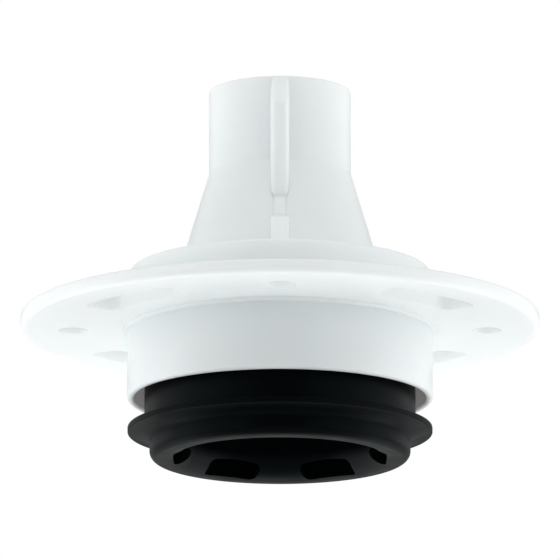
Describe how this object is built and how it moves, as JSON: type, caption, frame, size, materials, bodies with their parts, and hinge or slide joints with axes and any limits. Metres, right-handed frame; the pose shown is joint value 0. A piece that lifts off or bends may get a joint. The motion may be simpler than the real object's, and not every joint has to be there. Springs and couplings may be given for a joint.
{
  "type": "flanged vent base",
  "caption": "Round flanged vent base with a ribbed pipe stub, a cone and a collar that holds a plug-in insert with a sealing lip and a ported bell mouth.",
  "frame": {"origin": "centre of the screw hole circle, on the flange's underside", "axes": "+Z along the common axis, from the insert towards the pipe stub; a rib faces -Y"},
  "size_m": [0.182, 0.182, 0.1322],
  "materials": {
    "white_plastic": "satin moulded plastic",
    "black_plastic": "satin moulded plastic",
    "black_rubber": "matte moulded rubber"
  },
  "bodies": {
    "housing": {"pipe_housing": "white_plastic", "mounting_flange": "white_plastic", "housing_gasket": "black_rubber"},
    "insert": {"insert_sleeve": "black_plastic", "upper_o_ring": "black_rubber", "lower_o_ring": "black_rubber", "lip_seal": "black_rubber"},
    "mouth": {"port_mouth": "black_plastic", "mouth_o_ring": "black_rubber"}
  },
  "joints": [
    {"name": "insert_pull", "type": "slide", "parent": "housing", "child": "insert", "axis": [0, 0, -1], "range_m": [0, 0.025]},
    {"name": "mouth_turn", "type": "hinge", "parent": "insert", "child": "mouth", "pos_m": [0, 0, -0.04], "axis": [0, 0, 1], "continuous": true}
  ]
}
